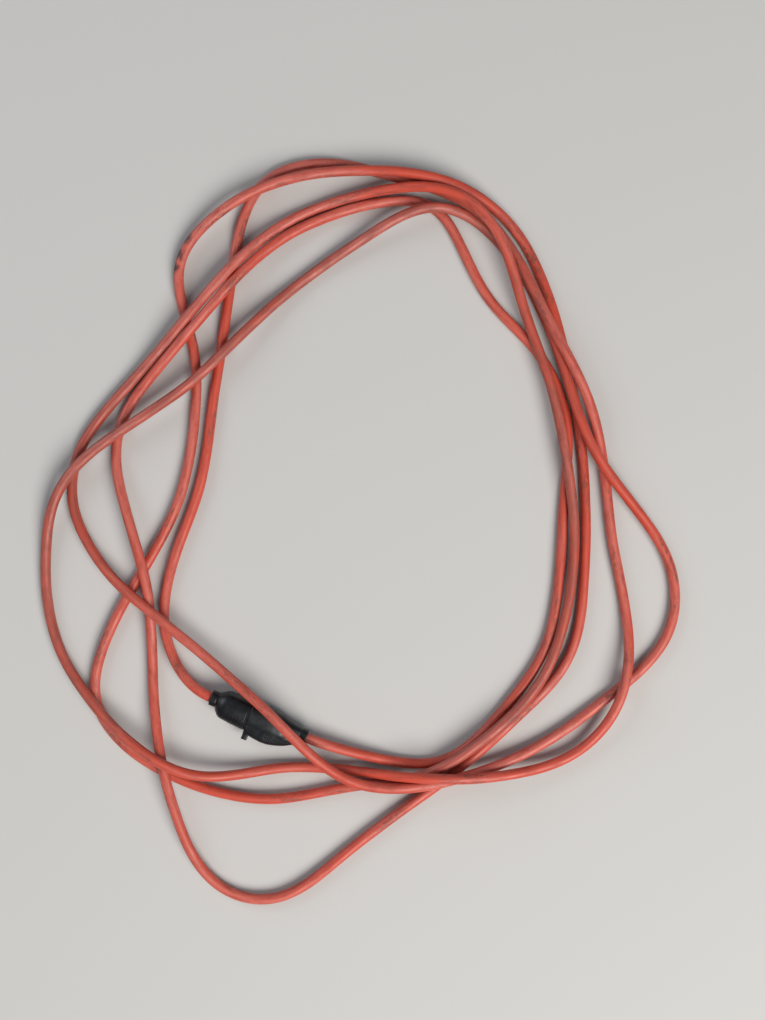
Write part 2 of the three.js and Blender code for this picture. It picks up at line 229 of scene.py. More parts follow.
def smooth_shade(piece: Piece) -> None:
    """Shades a piece smooth, apart from its sharp edges."""
    piece.data.shade_smooth()
    piece.data.set_sharp_from_angle(angle=SHARP_ANGLE)


def loft(name: str, rings: Sequence[Sequence[Vector]]) -> Piece:
    """Makes one closed body through rings that all have the same number of points."""
    shape = bmesh.new()
    rows = [[shape.verts.new(point) for point in ring] for ring in rings]
    count = len(rows[0])
    for low, high in zip(rows, rows[1:]):
        for i in range(count):
            j = (i + 1) % count
            shape.faces.new((low[i], low[j], high[j], high[i]))
    shape.faces.new(list(reversed(rows[0])))
    shape.faces.new(rows[-1])
    return mesh_object(name, shape)


def circle(radius: float) -> list[Pair]:
    """Gives the points of a circle around the origin."""
    angles = [math.tau * i / ROUND_SIDES for i in range(ROUND_SIDES)]
    return [(radius * math.cos(a), radius * math.sin(a)) for a in angles]


def bar(name: str, radius: float, span: Pair, y: float) -> Piece:
    """Makes a round bar along x, in millimetres of the pair's own frame."""
    section = circle(radius)
    return loft(name, [[Vector((x, y + side, z)) for side, z in section] for x in span])


def round_edges(piece: Piece, radius: float, steps: int) -> None:
    """Rounds a piece's sharp edges, in millimetres."""
    edges = piece.modifiers.new("edges", "BEVEL")
    edges.width = radius
    edges.segments = steps
    edges.limit_method = "ANGLE"
    edges.angle_limit = BEVEL_ANGLE
    settle(piece)


@dataclass(frozen=True)
class Prism:
    """A prism along x with rounded corners, in millimetres of the pair's own frame."""

    span: Pair
    y_span: Pair
    half_z: float
    corner: float

    def build(self, name: str) -> Piece:
        """Makes the prism as an object."""
        y_low, y_high = self.y_span
        corner = self.corner
        centres = [
            (y_high - corner, self.half_z - corner, 0),
            (y_low + corner, self.half_z - corner, 90),
            (y_low + corner, corner - self.half_z, 180),
            (y_high - corner, corner - self.half_z, 270),
        ]
        section = []
        for y, z, start in centres:
            for step in range(CORNER_STEPS + 1):
                angle = math.radians(start + 90 * step / CORNER_STEPS)
                section.append((y + corner * math.cos(angle), z + corner * math.sin(angle)))
        return loft(name, [[Vector((x, y, z)) for y, z in section] for x in self.span])


def section_at(rows: Sequence[tuple[float, ...]], x: float) -> list[float]:
    """Reads a table of sections at one place, smoothly and without overshoot between rows.

    Args:
        rows: rows that start with their place along x.
        x: where to read them.

    Returns:
        The other values of a row there.
    """
    last = len(rows) - 1
    i = next((n for n in range(last) if x <= rows[n + 1][0]), last - 1)
    gap = rows[i + 1][0] - rows[i][0]
    share = min(1.0, max(0.0, (x - rows[i][0]) / gap))

    def slope(n: int, column: int) -> float:
        """Gives a column's slope between row n and the next."""
        n = min(max(n, 0), last - 1)
        return (rows[n + 1][column] - rows[n][column]) / (rows[n + 1][0] - rows[n][0])

    def tangent(n: int, column: int) -> float:
        """Gives a column's slope at row n, level at a peak."""
        before, after = slope(n - 1, column), slope(n, column)
        return 2 * before * after / (before + after) if before * after > 0 else 0.0

    found = []
    for column in range(1, len(rows[0])):
        low, high = rows[i][column], rows[i + 1][column]
        start, end = tangent(i, column) * gap, tangent(i + 1, column) * gap
        rise = high - low
        found.append(
            low
            + start * share
            + (3 * rise - 2 * start - end) * share**2
            + (start + end - 2 * rise) * share**3
        )
    return found


# ---- finishes


def new_material(name: str) -> tuple[Material, Tree, bpy.types.Node]:
    """Starts a node material, and gives it with its tree and its Principled shader."""
    material = bpy.data.materials.new(name)
    material.use_nodes = True
    tree = material.node_tree
    return material, tree, tree.nodes["Principled BSDF"]


def lay_over(tree: Tree, under: object, share: Socket, hex_colour: str) -> Socket:
    """Lays a colour over another one, a value or a socket, by a share from 0 to 1."""
    inputs = {MIX_SHARE: share, MIX_LOW: under, MIX_HIGH: linear(hex_colour)}
    return output(tree, "ShaderNodeMix", {"data_type": "RGBA"}, inputs, MIX_RESULT)


def window(tree: Tree, value: Socket, low: float, high: float, top: float = 1) -> Socket:
    """Turns a value between low and high into a share from 0 to top."""
    return output(
        tree,
        "ShaderNodeMapRange",
        {"interpolation_type": "SMOOTHSTEP"},
        {"Value": value, "From Min": low, "From Max": high, "To Min": 0, "To Max": top},
        "Result",
    )


def attribute(tree: Tree, name: str, wanted: str) -> Socket:
    """Reads one of the mesh's own attributes."""
    return output(tree, "ShaderNodeAttribute", {"attribute_name": name}, wanted=wanted)


def object_coords(tree: Tree) -> Socket:
    """Gives the object's own coordinates."""
    return output(tree, "ShaderNodeTexCoord", wanted="Object")


def noise(tree: Tree, coords: Socket, size: float | Triple, detail: float = 4) -> Socket:
    """Gives a noise whose spots have a real size.

    Args:
        tree: the shader tree.
        coords: the coordinates, in metres.
        size: how large the spots are, in millimetres, alike or per axis.
        detail: how many finer layers it has.

    Returns:
        The noise's value, from 0 to 1.
    """
    per_axis = (size, size, size) if isinstance(size, (int, float)) else size
    scale = tuple(1 / (one * MM) for one in per_axis)
    fitted = output(tree, "ShaderNodeMapping", inputs={"Vector": coords, "Scale": scale})
    layers = {"Scale": 1.0, "Detail": detail, "Roughness": NOISE_ROUGHNESS}
    return output(tree, "ShaderNodeTexNoise", None, {"Vector": fitted, **layers}, "Fac")


def roughen(
    tree: Tree,
    shader: bpy.types.Node,
    pattern: Socket,
    span: Pair,
    grain: Socket,
    grain_depth: float,
) -> None:
    """Gives a shader a roughness that varies and a fine grain.

    Args:
        tree: the shader tree.
        shader: its Principled shader.
        pattern: what the roughness follows.
        span: the smoothest and roughest it gets.
        grain: what the bump follows.
        grain_depth: how deep the grain is, in millimetres.
    """
    reach = {"From Min": NOISE_LOW, "From Max": NOISE_HIGH, "To Min": span[0], "To Max": span[1]}
    rough = output(tree, "ShaderNodeMapRange", None, {"Value": pattern, **reach}, "Result")
    tree.links.new(rough, shader.inputs["Roughness"])
    depth = {"Strength": GRAIN_STRENGTH, "Distance": grain_depth * MM}
    bump = output(tree, "ShaderNodeBump", inputs={**depth, "Height": grain})
    tree.links.new(bump, shader.inputs["Normal"])


@dataclass(frozen=True)
class Spots:
    """A noise whose values from low to high become a share from 0 to top.

    Its size is in millimetres, alike or per axis.
    """

    size: float | Triple
    low: float
    high: float
    top: float = 1
    detail: float = 4

    def share(self, tree: Tree, coords: Socket) -> Socket:
        """Adds the spots to a tree and gives their share."""
        pattern = noise(tree, coords, self.size, self.detail)
        return window(tree, pattern, self.low, self.high, self.top)


@dataclass(frozen=True)
class FadedJacketVinyl:
    """Extruded PVC cord jacket, faded by the sun: satin, mottled, with grime, scuffs and painted
    shade in its flutes.

    The pattern reads the cord's own straightened coordinates, so it runs along the cord. A
    window is the two values of a pattern that a share rises between, and the most it gets.
    """

    base: str = "c64832"
    faded: str = "c8685a"
    deep: str = "a23a2a"
    grime: str = "5b3d33"
    dull: str = "8d4a3d"
    scuff: str = "1c1210"
    fading: Spots = Spots((40, 40, 300), 0.42, 0.6, 0.8, 3)
    speckle: Spots = Spots((1.6, 1.6, 4), 0.36, 0.6)
    patches: Spots = Spots((9, 9, 55), 0.54, 0.68, 0.75, 5)
    streaks: Spots = Spots((2.2, 2.2, 26), 0.56, 0.78, 0.6, 6)
    mottle_size: Triple = (5, 5, 16)
    mottle_window: Triple = (0.46, 0.74, 0.7)
    # Where the painted shade in the low flutes starts, where it is full, and how strong it gets.
    flute_shade_window: Triple = (0.55, 1.0, 0.4)
    dull_window: Triple = (0.1, 0.7, 0.75)
    dull_stretches: tuple[Pair, ...] = ((3.25, 3.70), (4.10, 4.35), (5.20, 6.05), (6.85, 7.05))
    dull_edge: float = 0.1
    scuff_places: tuple[Triple, ...] = (
        (-0.1480, 0.2525, 0.0085),
        (-0.1560, 0.2390, 0.0085),
        (-0.1615, 0.2290, 0.0080),
    )
    scuff_window: Triple = (0.0108, 0.0062, 0.88)
    scuff_spot: float = 5
    scuff_raggedness: float = 0.007
    grain_size: float = 0.8
    grain_depth: float = 0.12
    fine_detail: float = 3
    rough: Pair = (0.38, 0.6)
    ior: float = 1.52

    def material(self) -> Material:
        """Builds the material."""
        material, tree, shader = new_material("faded_pvc_jacket")
        cord = attribute(tree, "straight", "Vector")
        mottle = noise(tree, cord, self.mottle_size)
        colour = lay_over(tree, linear(self.base), self.fading.share(tree, cord), self.faded)
        colour = lay_over(tree, colour, window(tree, mottle, *self.mottle_window), self.deep)
        colour = self.weather(tree, cord, mottle, colour)
        colour = self.soil_and_shade(tree, cord, attribute(tree, "groove", "Fac"), colour)
        tree.links.new(self.rub(tree, colour), shader.inputs["Base Color"])
        shader.inputs["IOR"].default_value = self.ior
        grain = noise(tree, cord, self.grain_size, self.fine_detail)
        roughen(tree, shader, mottle, self.rough, grain, self.grain_depth)
        return material

    def weather(self, tree: Tree, cord: Socket, mottle: Socket, colour: Socket) -> Socket:
        """Dulls the stretches that lay out in the sun and the dust the longest."""
        along = output(tree, "ShaderNodeSeparateXYZ", inputs={0: cord}, wanted="Z")
        edge = self.dull_edge
        for start, end in self.dull_stretches:
            begun = window(tree, along, start - edge, start + edge)
            not_over = window(tree, along, end + edge, end - edge)
            share = maths(tree, "MULTIPLY", begun, not_over)
            share = maths(tree, "MULTIPLY", share, window(tree, mottle, *self.dull_window))
            colour = lay_over(tree, colour, share, self.dull)
        return colour

    def soil_and_shade(self, tree: Tree, cord: Socket, groove: Socket, colour: Socket) -> Socket:
        """Lays ground-in dirt in long patches and in streaks, and painted shade, a deeper red, in
        the low flutes.
        """
        speckle = self.speckle.share(tree, cord)
        patches = maths(tree, "MULTIPLY", self.patches.share(tree, cord), speckle)
        colour = lay_over(tree, colour, patches, self.grime)
        colour = lay_over(tree, colour, self.streaks.share(tree, cord), self.grime)
        # Painted shade: a deeper red laid into the low flutes, made patchy by the speckle.
        flute_shade = maths(tree, "MULTIPLY", window(tree, groove, *self.flute_shade_window), speckle)
        return lay_over(tree, colour, flute_shade, self.deep)

    def rub(self, tree: Tree, colour: Socket) -> Socket:
        """Lays black marks where the cord was dragged over something."""
        coords = object_coords(tree)
        ragged = noise(tree, coords, self.scuff_spot, self.fine_detail)
        for middle in self.scuff_places:
            ends = {0: coords, 1: middle}
            away = output(tree, "ShaderNodeVectorMath", {"operation": "DISTANCE"}, ends, "Value")
            edge = maths(tree, "MULTIPLY_ADD", ragged, self.scuff_raggedness, away)
            colour = lay_over(tree, colour, window(tree, edge, *self.scuff_window), self.scuff)
        return colour


@dataclass(frozen=True)
class MouldedPlastic:
    """Injection-moulded PVC or nylon: satin, spark-eroded grain, dust in a thin film."""

    name: str
    base: str
    dust: str
    dustiness: float
    rough: Pair
    cloud_size: float = 8
    cloud_detail: float = 5
    cloud_window: Pair = (0.45, 0.75)
    speck_size: float = 0.9
    speck_window: Pair = (0.6, 0.78)
    grain_depth: float = 0.06
    ior: float = 1.53

    def material(self) -> Material:
        """Builds the material."""
        material, tree, shader = new_material(self.name)
        coords = object_coords(tree)
        cloud = noise(tree, coords, self.cloud_size, self.cloud_detail)
        speck = noise(tree, coords, self.speck_size)
        colour = linear(self.base)
        for pattern, ends in ((cloud, self.cloud_window), (speck, self.speck_window)):
            share = window(tree, pattern, *ends, self.dustiness)
            colour = lay_over(tree, colour, share, self.dust)
        tree.links.new(colour, shader.inputs["Base Color"])
        shader.inputs["IOR"].default_value = self.ior
        roughen(tree, shader, cloud, self.rough, speck, self.grain_depth)
        return material


@dataclass(frozen=True)
class StampedMetal:
    """Stamped or drawn sheet brass, bare or nickel-plated, with fine rolling lines."""

    name: str
    base: str
    worn: str
    rough: Pair
    tarnish_size: float = 2.5
    tarnish_window: Triple = (0.5, 0.75, 0.7)
    rolling_size: Triple = (3, 3, 0.25)
    grain_depth: float = 0.02

    def material(self) -> Material:
        """Builds the material."""
        material, tree, shader = new_material(self.name)
        coords = object_coords(tree)
        tarnish = noise(tree, coords, self.tarnish_size)
        share = window(tree, tarnish, *self.tarnish_window)
        colour = lay_over(tree, linear(self.base), share, self.worn)
        tree.links.new(colour, shader.inputs["Base Color"])
        shader.inputs["Metallic"].default_value = 1.0
        rolling = noise(tree, coords, self.rolling_size)
        roughen(tree, shader, tarnish, self.rough, rolling, self.grain_depth)
        return material


JACKET = FadedJacketVinyl()
MOULDED = MouldedPlastic("black_moulded_pvc", "050609", "292e3b", 0.22, (0.31, 0.48))
NYLON = MouldedPlastic("dark_moulded_nylon", "1b1d21", "45474c", 0.25, (0.4, 0.55))
CUT_JACKET = MouldedPlastic("cut_jacket_end", "bd4836", "d08474", 0.3, (0.45, 0.6))
PLATED = StampedMetal("nickel_plated_brass", "c9c0a4", "9d8f6b", (0.2, 0.38))
BRASS = StampedMetal("stamped_brass", "c9a257", "8d6c33", (0.28, 0.46))
WIRES = {
    "line": MouldedPlastic("black_wire_insulation", "141414", "4a4844", 0.2, (0.35, 0.5)),
    "neutral": MouldedPlastic("white_wire_insulation", "e4e1d8", "a7a196", 0.3, (0.35, 0.5)),
    "ground": MouldedPlastic("green_wire_insulation", "2f7d3c", "7c8a72", 0.25, (0.35, 0.5)),
}


# ---- the cord


@dataclass(frozen=True)
class CordRoute:
    """The cord's middle line, one uniform cubic B-spline drawn by its control points.

    The control points are in millimetres. What the route gives is in metres.
    """

    controls: Sequence[Triple]
    degree: int = 3
    fineness: int = 60

    def point(self, place: float) -> Vector:
        """Gives the point at one place of the spline.

        Args:
            place: from 0 to the number of spans.

        Returns:
            The point, in metres.
        """
        degree = self.degree
        spans = len(self.controls) - degree

        def knot(i: int) -> int:
            """Gives one knot of the clamped uniform spline."""
            return min(max(i - degree, 0), spans)

        first = min(int(place), spans - 1)
        corners = [
            Vector([value / 1000 for value in control])
            for control in self.controls[first : first + degree + 1]
        ]
        for level in range(1, degree + 1):
            for j in range(degree, level - 1, -1):
                low = knot(j + first)
                high = knot(j + first + degree + 1 - level)
                corners[j] = corners[j - 1].lerp(corners[j], (place - low) / (high - low))
        return corners[degree]

    def line(self) -> tuple[list[Vector], list[float]]:
        """Gives the whole line as close points, with the distance along it of each."""
        spans = len(self.controls) - self.degree
        points = [self.point(i / self.fineness) for i in range(spans * self.fineness + 1)]
        distances = [0.0]
        for before, after in zip(points, points[1:]):
            distances.append(distances[-1] + (after - before).length)
        return points, distances

    def stretch(self, start: float, end: float, step: float) -> list[Vector]:
        """Gives evenly spaced points between two distances along the cord.

        Args:
            start: where it starts, in metres from the connector.
            end: where it ends.
            step: about how far apart the points are.

        Returns:
            The points.
        """
        points, distances = self.line()
        count = max(2, round((end - start) / step))
        found = []
        i = 0
        for n in range(count + 1):
            wanted = start + (end - start) * n / count
            while i < len(points) - 2 and distances[i + 1] < wanted:
                i += 1
            share = (wanted - distances[i]) / (distances[i + 1] - distances[i])
            found.append(points[i].lerp(points[i + 1], share))
        return found

    def length(self) -> float:
        """Gives the whole length in metres."""
        return self.line()[1][-1]


def start_tree(name: str, inputs: dict[str, str]) -> tuple[Tree, Sequence[Socket]]:
    """Starts a tree that takes a shape, inputs of the kinds given by name and a material."""
    tree = bpy.data.node_groups.new(name, "GeometryNodeTree")
    for socket, kind in {"Geometry": "Geometry", **inputs, "Material": "Material"}.items():
        tree.interface.new_socket(socket, in_out="INPUT", socket_type="NodeSocket" + kind)
    tree.interface.new_socket("Geometry", in_out="OUTPUT", socket_type="NodeSocketGeometry")
    return tree, tree.nodes.new("NodeGroupInput").outputs


def finish_tree(tree: Tree, shape: Socket, material: Socket) -> Tree:
    """Ends a geometry tree with its shape made real, smooth and of one material."""
    real = output(tree, "GeometryNodeRealizeInstances", inputs={0: shape})
    smooth = output(tree, "GeometryNodeSetShadeSmooth", inputs={0: real})
    dressed = output(
        tree, "GeometryNodeSetMaterial", inputs={"Geometry": smooth, "Material": material}
    )
    tree.links.new(dressed, tree.nodes.new("NodeGroupOutput").inputs[0])
    return tree


def round_profile(tree: Tree, sides: object, radius: Socket) -> Socket:
    """Adds a circle to sweep along a curve."""
    sizes = {"Resolution": sides, "Radius": radius}
    return output(tree, "GeometryNodeCurvePrimitiveCircle", {"mode": "RADIUS"}, sizes, "Curve")


def sweep(tree: Tree, curve: Socket, profile: Socket) -> Socket:
    """Adds the capped tube that a profile draws along a curve."""
    inputs = {"Curve": curve, "Profile Curve": profile, "Fill Caps": True}
    return output(tree, "GeometryNodeCurveToMesh", inputs=inputs)


def capture(
    tree: Tree, shape: Socket, fields: dict[str, tuple[str, Socket]]
) -> Sequence[Socket]:
    """Captures fields on a shape's points, each given by name as its type and its socket."""
    node = add_node(tree, "GeometryNodeCaptureAttribute", {"domain": "POINT"}, {0: shape})
    for name, (kind, _) in fields.items():
        node.capture_items.new(kind, name)
    for number, (_, field) in enumerate(fields.values(), start=1):
        tree.links.new(field, node.inputs[number])
    return node.outputs


def store(tree: Tree, shape: Socket, kind: str, name: str, value: Socket) -> Socket:
    """Stores a field as a named attribute on the points of a shape."""
    settings = {"data_type": kind, "domain": "POINT"}
    inputs = {"Geometry": shape, "Name": name, "Value": value}
    return output(tree, "GeometryNodeStoreNamedAttribute", settings, inputs)


def jacket_tree() -> Tree:
    """Builds the tree that turns a line into a jacket, fluted by the cores twisted in it."""
    sizes = {name: "Float" for name in ("Radius", "Flute depth", "Lay length", "Starts at")}
    tree, given = start_tree("jacket_on_line", {**sizes, "Sides": "Int"})
    upright = output(
        tree, "GeometryNodeSetCurveNormal", {"mode": "Z_UP"}, {"Curve": given["Geometry"]}
    )
    position = output(tree, "GeometryNodeInputPosition")
    length = output(tree, "GeometryNodeSplineParameter", wanted="Length")
    factor = output(tree, "GeometryNodeSplineParameter", wanted="Factor")
    along = capture(tree, upright, {"along": ("FLOAT", length), "middle": ("VECTOR", position)})
    profile = round_profile(tree, given["Sides"], given["Radius"])
    around = capture(tree, profile, {"around": ("FLOAT", factor)})
    tube = sweep(tree, along[0], around[0])

    angle = maths(tree, "MULTIPLY", around[1], math.tau)
    distance = maths(tree, "ADD", along[1], given["Starts at"])
    turns = maths(tree, "DIVIDE", distance, given["Lay length"])
    twist = maths(tree, "MULTIPLY", turns, math.tau)
    flutes = maths(tree, "MULTIPLY", angle, float(CORES))
    wave = maths(tree, "COSINE", maths(tree, "ADD", flutes, twist))
    rise = maths(tree, "MULTIPLY", maths(tree, "MULTIPLY", wave, 0.5), given["Flute depth"])

    def vectors(operation: str, inputs: dict[str | int, Socket]) -> Socket:
        """Adds one sum of vectors and gives its result."""
        return output(tree, "ShaderNodeVectorMath", {"operation": operation}, inputs)

    unit = vectors("NORMALIZE", {0: vectors("SUBTRACT", {0: position, 1: along[2]})})
    offset = vectors("SCALE", {0: unit, "Scale": rise})
    shape = output(tree, "GeometryNodeSetPosition", inputs={"Geometry": tube, "Offset": offset})
    across = maths(tree, "MULTIPLY", maths(tree, "COSINE", angle), given["Radius"])
    up = maths(tree, "MULTIPLY", maths(tree, "SINE", angle), given["Radius"])
    straight = output(
        tree, "ShaderNodeCombineXYZ", inputs={"X": across, "Y": up, "Z": distance}
    )
    shape = store(tree, shape, "FLOAT_VECTOR", "straight", straight)
    groove = maths(tree, "MULTIPLY_ADD", wave, -0.5, 0.5)
    shape = store(tree, shape, "FLOAT", "groove", groove)
    return finish_tree(tree, shape, given["Material"])


def line_object(name: str, points: Sequence[Vector]) -> Piece:
    """Makes a curve object of one plain open spline through points."""
    data = bpy.data.curves.new(name, "CURVE")
    data.dimensions = "3D"
    spline = data.splines.new("POLY")
    spline.points.add(len(points) - 1)
    for knot, point in zip(spline.points, points):
        knot.co = (*point, 1.0)
    return new_object(name, data)


def run_tree(name: str, source: Piece, tree: Tree, values: dict[str, object]) -> Piece:
    """Runs a geometry tree on an object and keeps the result as a plain mesh object.

    Args:
        name: the new piece's name.
        source: the object that the tree starts from, which is removed.
        tree: the geometry tree.
        values: its inputs by name.

    Returns:
        The finished mesh object.
    """
    modifier = source.modifiers.new("make", "NODES")
    modifier.node_group = tree
    for item in tree.interface.items_tree:
        if item.item_type == "SOCKET" and item.in_out == "INPUT" and item.name in values:
            modifier[item.identifier] = values[item.name]
    source.update_tag()
    mesh = result_mesh(source)
    bpy.data.objects.remove(source)
    mesh.name = name
    return new_object(name, mesh)


@dataclass
class Cord:
    """The jacketed three-core cord, from the connector to the plug."""

    diameter: float = 8.8 * MM
    tail_length: float = 120 * MM
    step: float = 3 * MM
    sides: int = 24
    flute_depth: float = 0.2 * MM
    lay_length: float = 66 * MM
    route: CordRoute = CordRoute(ROUTE)

    def stretches(self) -> dict[str, Pair]:
        """Gives where each piece starts and ends along the cord."""
        return {
            "cord_tail_jacket": (0.0, self.tail_length),
            "cord_jacket": (self.tail_length, self.route.length()),
        }

    def build(self) -> dict[str, Piece]:
        """Makes the long stretch and the tail behind the connector, and gives them by name."""
        tree = jacket_tree()
        values = {
            "Radius": self.diameter / 2,
            "Flute depth": self.flute_depth,
            "Lay length": self.lay_length,
            "Sides": self.sides,
            "Material": JACKET.material(),
        }
        pieces = {}
        for name, (start, end) in self.stretches().items():
            line = line_object(name + "_line", self.route.stretch(start, end, self.step))
            pieces[name] = run_tree(name, line, tree, {**values, "Starts at": start})
        self.dress(pieces)
        LOG.info("the cord is %.3f m long", self.route.length())
        return pieces

    def dress(self, pieces: dict[str, Piece]) -> None:
        """Lets the long stretch ride with the plug, hides the CAD cord pieces that the stretches
        stand for, and bakes the tail's place into its mesh.
        """
        tail, main_run = pieces["cord_tail_jacket"], pieces["cord_jacket"]
        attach(main_run, Body.CORD_AND_PLUG.value)
        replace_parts(main_run, *(f"cord_turn_{n}" for n in range(1, 6)))
        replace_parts(tail, "cord_tail")
        tuple(self.route.stretch(0, self.tail_length, self.step)[-1])
        tuple(self.route.point(0))
        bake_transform(tail)

    def declare(self, plug_pieces: Sequence[Piece]) -> None:
        """Works out the points along both stretches.

        Args:
            plug_pieces: what the far end carries; not used.
        """
        far_ends = (("object", ()), ("plug", plug_pieces))
        for (name, (start, end)), (far_end, carried) in zip(self.stretches().items(), far_ends):
            points = self.route.stretch(start, end, self.step)


# ---- the plug and the connector


@dataclass(frozen=True)
class PairFrame:
    """Where the mated pair lies: x runs from the plug to the connector, in millimetres."""

    mating_point: Triple = (-0.095, -0.153, 0.01275)

    def matrix(self, axis: Sequence[float]) -> Matrix:
        """Gives the matrix from the pair's own millimetres to the frame's metres."""
        yaw = math.atan2(axis[1], axis[0])
        turn = Matrix.Rotation(yaw, 4, "Z")
        return Matrix.Translation(self.mating_point) @ turn @ Matrix.Scale(MM, 4)


def squared(cosine: float, squareness: float) -> float:
    """Bends a cosine or sine so that an ellipse turns squarer."""
    return math.copysign(abs(cosine) ** (2 / squareness), cosine)


@dataclass
class Moulding:
    """What the plug and the connector share: one body lofted through rounded sections."""

    sections: Sequence[tuple[float, float, float, float]]
    squareness: float = 2.35
    around: int = 128
    step: float = 0.4

    def ring(self, x: float) -> list[Vector]:
        """Gives the cross-section at one place along the body."""
        y_low, y_high, half_z = section_at(self.sections, x)
        middle = (y_low + y_high) / 2
        half_y = (y_high - y_low) / 2
        ring = []
        for i in range(self.around):
            angle = math.tau * i / self.around
            y = middle + half_y * squared(math.cos(angle), self.squareness)
            z = half_z * squared(math.sin(angle), self.squareness)
            ring.append(Vector((x, y, z)))
        return ring

    def body(self, name: str) -> Piece:
        """Lofts the body from end to end."""
        start = self.sections[0][0]
        end = self.sections[-1][0]
        count = round((end - start) / self.step)
        places = [start + (end - start) * i / count for i in range(count + 1)]
        return loft(name, [self.ring(x) for x in places])


@dataclass
class ConnectorMoulding(Moulding):
    """The connector's moulding: a barrel, and a thinner ribbed grip on the ground side.

    Each row of the grip is a place, its outer edge and half its thickness at the crease.
    """

    grip: Sequence[Triple] = (
        (0.4, -18.2, 11.0), (4, -18.7, 11.0), (8, -19.4, 11.0), (13, -20.1, 10.9),
        (17, -20.5, 11.2), (22, -20.3, 11.1), (27, -19.4, 10.4), (32, -18.0, 9.3),
        (36, -16.6, 8.4), (40, -14.6, 7.7), (44, -12.2, 7.0), (46.6, -9.6, 6.4),
        (52.7, -9.4, 6.0),
    )
    crease: float = -9.2
    fall: float = 0.36
    edge_round: float = 3.4
    rib_span: Pair = (18, 41)
    rib_pitch: float = 1.5
    rib_depth: float = 0.4
    rib_start: float = 0.8
    rib_fade: float = 0.6
    rib_run_out: float = 2
    grip_end: float = -4.2
    edge_squareness: float = 2.2
    squareness: float = 2.8
    step: float = 0.25

    def ring(self, x: float) -> list[Vector]:
        """Gives the cross-section, the higher of the barrel and the grip everywhere."""
        y_low, y_high, half_z = section_at(self.sections, x)
        edge, crease_half = section_at(self.grip, x)
        low = min(y_low, edge)
        middle = (y_low + y_high) / 2
        half_y = (y_high - y_low) / 2
        half_count = self.around // 2
        top = []
        for i in range(half_count + 1):
            y = (low + y_high) / 2 + (y_high - low) / 2 * math.cos(math.pi * i / half_count)
            share = min(1.0, abs(y - middle) / half_y)
            barrel = half_z * (1 - share**self.squareness) ** (1 / self.squareness)
            top.append((y, max(barrel, self.grip_height(x, y, low, crease_half))))
        ring = [Vector((x, y, z)) for y, z in top]
        ring += [Vector((x, y, -z)) for y, z in reversed(top[1:-1])]
        return ring

    def grip_height(self, x: float, y: float, edge: float, crease_half: float) -> float:
        """Gives half the grip's thickness at one point, with its cross ribs."""
        if y > self.grip_end:
            return 0.0
        outward = max(0.0, self.crease - y)
        height = crease_half - self.fall * outward
        start, end = self.rib_span
        if start < x < end and outward > self.rib_start:
            ends = min(x - start, end - x) / self.rib_run_out
            fade = min(1.0, (outward - self.rib_start) / self.rib_fade, ends)
            wave = 0.5 - 0.5 * math.cos(math.tau * (x - start) / self.rib_pitch)
            height -= self.rib_depth * fade * wave
        share = min(1.0, max(0.0, y - edge) / self.edge_round)
        power = self.edge_squareness
        return height * (1 - (1 - share) ** power) ** (1 / power)


PLUG_SECTIONS = (
    (-36, -6.1, 6.1, 6.1), (-35.7, -6.5, 6.5, 6.5), (-35.2, -6.7, 6.7, 6.7),
    (-31.0, -6.7, 6.7, 6.7), (-30.6, -6.5, 6.5, 6.5), (-30.0, -6.7, 6.5, 6.6),
    (-29.4, -7.9, 6.8, 8.0), (-27.6, -10.4, 7.9, 9.7), (-25.6, -12.4, 9.2, 11.1),
    (-23.2, -13.6, 10.4, 12.1), (-20.5, -14.0, 11.0, 12.5), (-16.5, -14.5, 11.3, 12.6),
    (-12, -15.0, 11.4, 12.72), (-6, -15.5, 11.4, 12.74), (-2.2, -15.8, 11.4, 12.74),
    (-1.8, -15.6, 11.2, 12.5), (-1.4, -15.8, 11.4, 12.74), (-0.4, -15.8, 11.4, 12.74),
    (0, -15.5, 11.1, 12.4),
)
CONNECTOR_SECTIONS = (
    (0.4, -13.0, 11.0, 12.4), (0.8, -13.2, 11.3, 12.72), (4, -13.2, 11.3, 12.74),
    (10, -13.3, 11.2, 12.72), (17, -13.5, 10.9, 12.6), (22, -13.7, 10.4, 12.3),
    (27, -13.6, 9.5, 11.7), (30, -13.3, 8.8, 11.3), (32, -12.9, 8.1, 10.8),
    (36, -11.8, 6.7, 9.6), (40, -10.8, 5.6, 8.6), (44, -10.1, 4.7, 7.5),
    (46, -9.6, 4.3, 7.0), (46.5, -9.3, 4.0, 6.7), (47, -9.5, 4.3, 6.9),
    (51.9, -9.5, 4.3, 6.9), (52.4, -9.3, 4.1, 6.7), (52.7, -8.9, 3.7, 6.3),
)


def rib_tree() -> Tree:
    """Builds the tree that repeats a raised rib along a body."""
    sizes = {"Count": "Int", "Pitch": "Vector", "Rib radius": "Float"}
    tree, given = start_tree("ribs_along_body", sizes)
    rib = sweep(tree, given["Geometry"], round_profile(tree, RIB_SIDES, given["Rib radius"]))
    steps = {"Count": given["Count"], "Offset": given["Pitch"]}
    row = output(tree, "GeometryNodeMeshLine", {"mode": "OFFSET"}, steps)
    copies = output(
        tree, "GeometryNodeInstanceOnPoints", inputs={"Points": row, "Instance": rib}
    )
    return finish_tree(tree, copies, given["Material"])


def place(piece: Piece, matrix: Matrix, body: Body) -> Piece:
    """Puts a piece's place into its mesh and lets it ride on a body."""
    piece.data.transform(matrix)
    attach(piece, body.value)
    return piece


def dress(piece: Piece, material: Material) -> Piece:
    """Gives a piece one material."""
    piece.data.materials.clear()
    piece.data.materials.append(material)
    return piece


